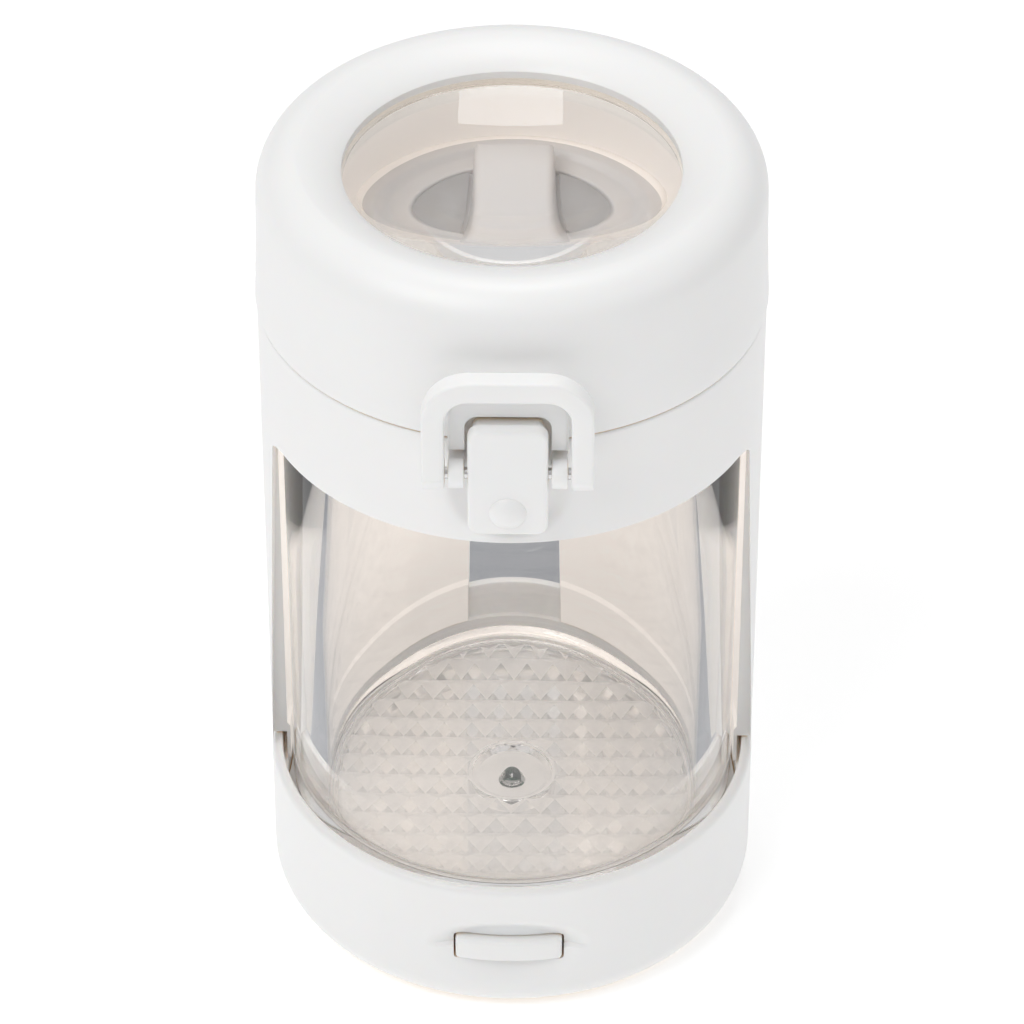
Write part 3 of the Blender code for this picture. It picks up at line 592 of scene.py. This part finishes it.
floor_lens = prism_floor()
CLEAR_FLOOR = clear("clear_floor", 0.03, (0.97, 0.965, 0.96), 500.0, 0.02)
dress(floor_lens, CLEAR_FLOOR, 12)
floor_lens.data.shade_flat()
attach(floor_lens, "housing")
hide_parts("floor_lens")
carried("floor_seal", rubber("seal_silicone", (0.82, 0.81, 0.80), 0.55, 0.1, 1500.0, 0.2))

# ---------------------------------------------------------------- light
# A three millimetre clear LED: cast body with a domed nose, a foot flange, and two bent metal posts inside.
led_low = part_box("led")[0].z / MM
led_body = spun("led_lens", [(0.0, 18.5)] + bow(0.0, 17.0, 1.5, 86, 0, 10) +
                [(1.5, 12.6), (1.9, 12.6), (1.9, led_low), (0.0, led_low)], 48)
dress(led_body, clear("clear_epoxy", 0.02, (0.96, 0.96, 0.95), 800.0, 0.01, 1.53), 30)
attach(led_body, "housing")
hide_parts("led")
for name, left, right in (("led_post_cup", -1.0, -0.1), ("led_post_wire", 0.12, 0.75)):
    post = block(name, (left, -0.25, led_low + 0.3), (right, 0.25, 16.2), 0.08, 2)
    dress(post, STEEL, 40)
    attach(post, "housing")

# ---------------------------------------------------------------- jar
# A thick-walled clear jar, moulded in one piece with a rounded inner corner. It stands on a silicone ring
# inside the sleeve and is closed by the neck.
jar_low, jar_high = (corner.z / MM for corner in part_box("jar"))
JAR_R, JAR_IN = 34.4, 29.4
jar_outline = [(JAR_IN + 0.7, jar_high)] + bow(JAR_R - 0.6, jar_high - 0.6, 0.6, 90, 0, 4)
jar_outline += [(JAR_R, jar_high - 42)] + bow(JAR_R - 1.6, jar_low + 1.6, 1.6, 0, -90, 8) + [(0.0, jar_low)]
jar_outline += [(0.0, jar_low + 2.0)] + bow(JAR_IN - 3.0, jar_low + 5.0, 3.0, -90, 0, 10)
jar_outline += [(JAR_IN, jar_high - 42), (JAR_IN, jar_high - 0.7)]
jar = spun("jar_clear", jar_outline, 256)
CLEAR_JAR = clear("clear_jar", 0.008, (0.994, 0.985, 0.976), 300.0, 0.004)
dress(jar, CLEAR_JAR, 40)
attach(jar, "housing")
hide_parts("jar")
carried("jar_seal", bpy.data.materials["seal_silicone"])

# ---------------------------------------------------------------- sleeve
# One white moulding: the collar round the neck, the two side strips, the front window with its flared
# edges, the rear slot, two lugs for the latch pin and two hinge knuckles.
BODY_R, SLEEVE_IN, COLLAR_LOW, SPLIT = 37.5, 35.2, 93.4, 111.5
PIN_Y, PIN_Z, PIN_R = -41.0, 108.9, 0.85
HINGE_Y, HINGE_Z, HINGE_PIN_R = 39.6, 111.7, 1.0


def drum(name, centre, radius, length, bevel=0.3, sides=48):
    """A round bar along X with rounded ends, in mm."""
    mesh = bpy.data.meshes.new(name)
    work = bmesh.new()
    bmesh.ops.create_cone(work, cap_ends=True, segments=sides, radius1=radius * MM, radius2=radius * MM,
                          depth=length * MM)
    if bevel:
        rims = [e for e in work.edges if abs(e.verts[0].co.z - e.verts[1].co.z) < 1e-7]
        bmesh.ops.bevel(work, geom=rims, offset=bevel * MM, segments=3, profile=0.5, affect="EDGES")
    turn = Matrix.Translation(Vector(centre) * MM) @ Matrix.Rotation(math.pi / 2, 4, "Y")
    bmesh.ops.transform(work, matrix=turn, verts=work.verts)
    work.to_mesh(mesh)
    work.free()
    return place(name, mesh)


def slab(name, outline, near, far, bevel=0.0, segments=3):
    """An (x, z) outline in mm, run from y = near to y = far, its front and back rims rounded."""
    mesh = bpy.data.meshes.new(name)
    work = bmesh.new()
    face = work.faces.new([work.verts.new((x * MM, near * MM, z * MM)) for x, z in outline])
    grown = bmesh.ops.extrude_face_region(work, geom=[face])
    moved = [item for item in grown["geom"] if isinstance(item, bmesh.types.BMVert)]
    bmesh.ops.translate(work, vec=(0, (far - near) * MM, 0), verts=moved)
    bmesh.ops.recalc_face_normals(work, faces=work.faces)
    if bevel:
        rims = [e for e in work.edges if abs(e.verts[0].co.y - e.verts[1].co.y) < 1e-7]
        bmesh.ops.bevel(work, geom=rims, offset=bevel * MM, segments=segments, profile=0.5, affect="EDGES")
    work.to_mesh(mesh)
    work.free()
    return place(name, mesh)


def scooped(r, z, angle):
    """A shallow scoop in the collar behind and below the latch button."""
    if r < 36.5 or abs(angle) > 0.5:
        return r, z
    depth = 1.15 * swell(angle * BODY_R, z - 101.6, 9.3, 7.6, 0.35)
    return r - depth, z


side_wall = [(BODY_R, 110.6 - 0.6 * k) for k in range(31)] + [(BODY_R, 60.0)]
sleeve_outline = [(SLEEVE_IN + 0.3, SPLIT)] + bow(BODY_R - 0.4, SPLIT - 0.4, 0.4, 90, 0, 4) + side_wall
sleeve_outline += [(BODY_R, 25.8), (35.3, 25.8), (35.3, 20.6), (34.75, 20.6), (34.75, 27.0)]
sleeve_outline += [(SLEEVE_IN, 27.6), (SLEEVE_IN, SPLIT - 0.3)]
sleeve = spun("sleeve_moulded", sleeve_outline, 192, scooped, front=96)
for side in (-1, 1):
    ear_x, knuckle_x = side * 7.35, side * 9.0
    ear = drum("ear", (ear_x, PIN_Y, PIN_Z), 2.2, 2.3, 0.25)
    root = block("root", (ear_x - 1.1, PIN_Y, PIN_Z - 2.0), (ear_x + 1.1, -36.3, PIN_Z + 1.9))
    merge(ear, root, "UNION")
    merge(sleeve, ear, "UNION")
    knuckle = drum("knuckle", (knuckle_x, HINGE_Y, HINGE_Z), 2.4, 5.0, 0.3)
    arm_low, arm_high = HINGE_Z - 6.5, HINGE_Z - 1.0
    arm = block("arm", (knuckle_x - 2.47, 36.3, arm_low), (knuckle_x + 2.47, HINGE_Y + 0.9, arm_high), 0.4)
    merge(knuckle, arm, "UNION")
    merge(sleeve, knuckle, "UNION")
flare = ((36.1, 65.0), (36.9, 42.0), (37.35, 25.6), (37.35, 15.0))
window = bow(33.0, COLLAR_LOW - 2.2, 2.2, 0, 90) + bow(-33.0, COLLAR_LOW - 2.2, 2.2, 90, 180)
window += [(-x, z) for x, z in flare] + [(x, z) for x, z in reversed(flare)]
merge(sleeve, slab("window", window, -50, -1.0), "DIFFERENCE")
slot_shape = bow(6.0, 87.0, 3.0, 0, 90) + bow(-6.0, 87.0, 3.0, 90, 180) + [(-9.0, 10.0), (9.0, 10.0)]
merge(sleeve, slab("slot", slot_shape, 20, 50), "DIFFERENCE")
merge(sleeve, drum("bore", (0, PIN_Y, PIN_Z), PIN_R + 0.05, 30, 0), "DIFFERENCE")
merge(sleeve, drum("bore", (0, HINGE_Y, HINGE_Z), HINGE_PIN_R + 0.05, 30, 0), "DIFFERENCE")
merge(sleeve, drum("swing", (0, HINGE_Y, HINGE_Z), 2.9, 12.6, 0), "DIFFERENCE")
dress(sleeve, WHITE_PAINT, 35)
# painted shade and glow: the sleeve's inner faces get a darker, warmer copy of the white plastic that also
# glows faintly
WALL_SHADE_AND_GLOW = plastic("inner_wall_shade_and_glow", (0.88, 0.85, 0.82), (0.85, 0.82, 0.79), 0.42)
sleeve.data.materials.append(painted_glow(WALL_SHADE_AND_GLOW, (1.0, 0.93, 0.87), 0.26))
for face in sleeve.data.polygons:
    flat = Vector((face.center.x, face.center.y, 0.0))
    inward = face.normal.dot(flat.normalized()) < -0.5
    if inward and flat.length < 35.6 * MM and face.center.z < 106 * MM:
        face.material_index = 1
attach(sleeve, "housing")
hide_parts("sleeve")

# ---------------------------------------------------------------- neck and crusher
# The neck ring closes the jar and seats a fixed steel jaw. The cap with the finger bar turns the upper jaw
# against it; a thin grey disc is let into the cap on each side of the bar.
neck_low, neck_high = (corner.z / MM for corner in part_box("neck_ring"))
neck_outline = [(27.6, neck_high), (34.9, neck_high), (34.9, neck_low), (24.6, neck_low)]
neck_outline += [(24.6, neck_low + 1.6), (27.4, neck_low + 1.6)]
neck = spun("neck_ring_turned", soft_profile(neck_outline, 0.5), 160)
INNER_GLOW_PAINT = plastic("inner_plastic_glow", (0.84, 0.81, 0.78), (0.81, 0.78, 0.75), 0.42, skin=0.1)
# painted light: a faint glow on the neck ring and on the liner, which share this plastic
dress(neck, painted_glow(INNER_GLOW_PAINT, (1.0, 0.93, 0.87), 0.22), 35)
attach(neck, "housing")
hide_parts("neck_ring")
JAW_STEEL = metal("jaw_steel", (0.58, 0.585, 0.6), 0.32, (1, 1, 1), 0.15)
for name in ("lower_jaw", "upper_jaw", "jaw_screw"):
    carried(name, JAW_STEEL)

CAP_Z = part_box("crusher_cap")[0].z / MM
BAR_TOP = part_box("crusher_cap")[1].z / MM
cap_steps = ((22.3, 0.9), (22.3, 1.8), (24.6, 1.8), (25.4, 2.6), (26.9, 2.6), (26.9, 0.0), (10.0, 0.0))
cap_outline = soft_profile([(r, CAP_Z + rise) for r, rise in cap_steps], 0.3)[3:-3]
cap = spun("crusher_cap_turned", [(0.0, CAP_Z + 0.9)] + cap_outline + [(0.0, CAP_Z)], 160)


def finger_bar():
    """A flat bar, slightly waisted in plan, with softly rounded long edges."""
    mesh = bpy.data.meshes.new("finger_bar")
    work = bmesh.new()
    length, steps = 22.6, 24
    rim = []
    for step in range(steps + 1):
        y = -length + 2 * length * step / steps
        rim.append((5.3 - 0.5 * math.cos(y / length * math.pi / 2) ** 2, y))
    outline = rim + [(-x, y) for x, y in reversed(rim)]
    face = work.faces.new([work.verts.new((x * MM, y * MM, (CAP_Z + 0.5) * MM)) for x, y in outline])
    grown = bmesh.ops.extrude_face_region(work, geom=[face])
    moved = [item for item in grown["geom"] if isinstance(item, bmesh.types.BMVert)]
    bmesh.ops.translate(work, vec=(0, 0, (BAR_TOP - CAP_Z - 0.5) * MM), verts=moved)
    bmesh.ops.recalc_face_normals(work, faces=work.faces)
    top = [e for e in work.edges if all(abs(v.co.z - BAR_TOP * MM) < 1e-6 for v in e.verts)]
    bmesh.ops.bevel(work, geom=top, offset=1.0 * MM, segments=4, profile=0.5, affect="EDGES")
    work.to_mesh(mesh)
    work.free()
    return place("finger_bar", mesh)


merge(cap, finger_bar(), "UNION")
dress(cap, plastic("cap_plastic", (0.69, 0.67, 0.66), (0.66, 0.64, 0.63), 0.4, skin=0.1), 35)
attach(cap, "crusher")
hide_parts("crusher_cap")
INLAY = metal("inlay_grey", (0.52, 0.53, 0.545), 0.45, (1, 1, 1), 0.1)
carried("cap_inlay_left", INLAY)
carried("cap_inlay_right", INLAY)

# ---------------------------------------------------------------- lid
# The white lid shell has a soft ring round the lens and an arched block at the front that the latch button
# hooks. The liner is its warm-white inner wall: it clamps the lens and carries the gasket.
LID_LOW, LID_TOP, OPENING = 111.85, 135.9, 24.7
lid_outline = [(OPENING, 133.0), (25.0, 133.35), (26.6, 134.35), (28.9, 135.4), (31.0, 135.88)]
lid_outline += bow(31.2, LID_TOP - 6.0, 6.0, 88, 0, 14)
lid_outline += [(37.3, 124.0), (37.45, 119.0), (37.6, 115.0)] + bow(37.35, LID_LOW + 0.4, 0.4, 0, -90, 4)
lid_outline += [(35.2, LID_LOW), (35.2, 128.2), (33.6, 131.0), (27.1, 131.6), (25.0, 131.6)]
lid_outline += [(OPENING, 131.9)]
lid = spun("lid_moulded", lid_outline, 224)
arch = bow(5.25, 118.1, 3.3, 0, 90) + bow(-5.25, 118.1, 3.3, 90, 180)
arch += [(-8.55, LID_LOW), (8.55, LID_LOW)]
catch = slab("catch", arch, -39.9, -36.0, 0.5)
throat = bow(4.25, 116.1, 1.9, 0, 90) + bow(-4.25, 116.1, 1.9, 90, 180) + [(-6.15, 100), (6.15, 100)]
merge(catch, slab("throat", throat, -45, -38.1), "DIFFERENCE")
merge(lid, catch, "UNION")
knuckle = drum("knuckle", (0, HINGE_Y, HINGE_Z), 2.4, 12.0, 0.3)
arm = block("arm", (-6.0, 36.6, HINGE_Z + 0.8), (6.0, HINGE_Y + 1.0, HINGE_Z + 6.5), 0.5)
merge(knuckle, arm, "UNION")
merge(lid, knuckle, "UNION")
merge(lid, drum("bore", (0, HINGE_Y, HINGE_Z), HINGE_PIN_R + 0.05, 30, 0), "DIFFERENCE")
for side in (-1, 1):
    merge(lid, drum("swing", (side * 9.3, HINGE_Y, HINGE_Z), 2.8, 6.0, 0), "DIFFERENCE")
spring_gap = block("spring_gap", (-2.7, HINGE_Y - 3.0, HINGE_Z - 4), (2.7, HINGE_Y + 4.0, HINGE_Z + 3.4))
merge(lid, spring_gap, "DIFFERENCE")
dress(lid, WHITE_PAINT, 35)
# painted shade and glow: the lid's inner faces and the liner's seat get a darker, warmer copy of the white
# plastic that glows faintly
SEAT_SHADE_AND_GLOW = plastic("lens_seat_shade_and_glow", (0.86, 0.83, 0.79), (0.84, 0.81, 0.77), 0.42)
lid.data.materials.append(painted_glow(SEAT_SHADE_AND_GLOW, (1.0, 0.95, 0.89), 0.12))
for face in lid.data.polygons:
    if math.hypot(face.center.x, face.center.y) < 35.0 * MM and face.center.z < 132.0 * MM:
        face.material_index = 1
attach(lid, "lid")
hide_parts("lid_shell")

LIP, GROOVE = LID_LOW + 0.2, LID_LOW + 2.0
liner_outline = [(24.9, 129.8), (27.4, 129.8), (27.6, 127.6), (34.8, 127.6), (34.8, LIP), (33.9, LIP)]
liner_outline += [(33.9, GROOVE), (31.6, GROOVE), (31.6, LIP), (30.6, LIP), (30.6, 126.2), (24.9, 126.4)]
liner = spun("lid_liner_turned", soft_profile(liner_outline, 0.3), 192)
dress(liner, INNER_GLOW_PAINT, 35)
# the liner's upper faces take the same painted shade and glow
liner.data.materials.append(SEAT_SHADE_AND_GLOW)
for face in liner.data.polygons:
    if face.center.z > 127.0 * MM:
        face.material_index = 1
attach(liner, "lid")
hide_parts("lid_liner")
carried("lid_gasket", bpy.data.materials["seal_silicone"])

# ---------------------------------------------------------------- lens
# A cast clear lens, flat on top and domed below, clamped by its rim between the lid shell and the liner.
LENS_R, LENS_TOP, RIM_LOW, THICK, DOME_R = 26.6, 131.2, 130.1, 4.2, 98.0
lens_outline = [(0.0, LENS_TOP), (LENS_R - 0.4, LENS_TOP), (LENS_R, LENS_TOP - 0.4), (LENS_R, RIM_LOW)]
lens_outline += [(24.7, RIM_LOW)]
for step in range(24):
    r = 24.6 * (1 - step / 23)
    lens_outline.append((r, LENS_TOP - THICK + DOME_R - math.sqrt(DOME_R ** 2 - r ** 2)))
lens = spun("lens_cast", lens_outline, 192)
dress(lens, clear("clear_lens", 0.004, (0.99, 0.985, 0.98), 300.0, 0.002), 30)
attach(lens, "lid")
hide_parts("lens")

# ---------------------------------------------------------------- hinge
# A plain steel pin through the knuckles, with the coil spring that lifts the lid wound round its middle.
carried("hinge_pin", STEEL)
carried("hinge_spring", STEEL)

# ---------------------------------------------------------------- latch
# A rocking button and a U-shaped lock bail, both white, on one steel pin held by the sleeve's lugs. The
# button has a low domed thumb pad; a small coil spring pushes its lower half out.
button_outline = bow(4.0, 115.7, 1.7, 0, 90, 6) + bow(-4.0, 115.7, 1.7, 90, 180, 6)
button_outline += bow(-4.0, 100.9, 1.7, 180, 270, 6) + bow(4.0, 100.9, 1.7, 270, 360, 6)
button = slab("latch_button_moulded", button_outline, -43.0, -40.5, 0.5, 4)
back_outline = bow(3.9, 115.9, 1.2, 0, 90, 4) + bow(-3.9, 115.9, 1.2, 90, 180, 4)
back_outline += [(-5.1, 105.6), (5.1, 105.6)]
merge(button, slab("back", back_outline, -41.0, -38.7, 0.3, 2), "UNION")
pad = spun("pad", [(0.0, 1.2)] + bow(0.0, -2.5, 3.7, 88, 44, 8) + [(2.9, -0.7), (0.0, -0.7)], 64)
pad_place = Matrix.Translation(Vector((0, -43.0, 103.1)) * MM)
pad.data.transform(pad_place @ Matrix.Rotation(math.pi / 2, 4, "X"))
merge(button, pad, "UNION")
merge(button, drum("bore", (0, PIN_Y, PIN_Z), PIN_R + 0.05, 30, 0), "DIFFERENCE")
dress(button, WHITE_PAINT, 35)
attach(button, "latch_button")
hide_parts("latch_button")

bail_outline = bow(5.4, 119.5, 6.8, 0, 90, 12) + bow(-5.4, 119.5, 6.8, 90, 180, 12)
bail_outline += [(-12.2, PIN_Z), (-8.95, PIN_Z)] + bow(-5.45, 119.4, 3.5, 180, 90, 10)
bail_outline += bow(5.45, 119.4, 3.5, 90, 0, 10) + [(8.95, PIN_Z), (12.2, PIN_Z)]
bail = slab("lock_bail_moulded", bail_outline, -43.5, -40.3, 0.45, 4)
for side in (-1, 1):
    merge(bail, drum("eye", (side * 10.575, PIN_Y, PIN_Z), 2.4, 3.2, 0.35), "UNION")
merge(bail, drum("bore", (0, PIN_Y, PIN_Z), PIN_R + 0.05, 30, 0), "DIFFERENCE")
dress(bail, WHITE_PAINT, 35)
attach(bail, "lock_bail")
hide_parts("lock_bail")
carried("latch_pin", metal("pin_steel", (0.78, 0.78, 0.79), 0.22, (6, 1, 1)))
carried("latch_spring", STEEL)
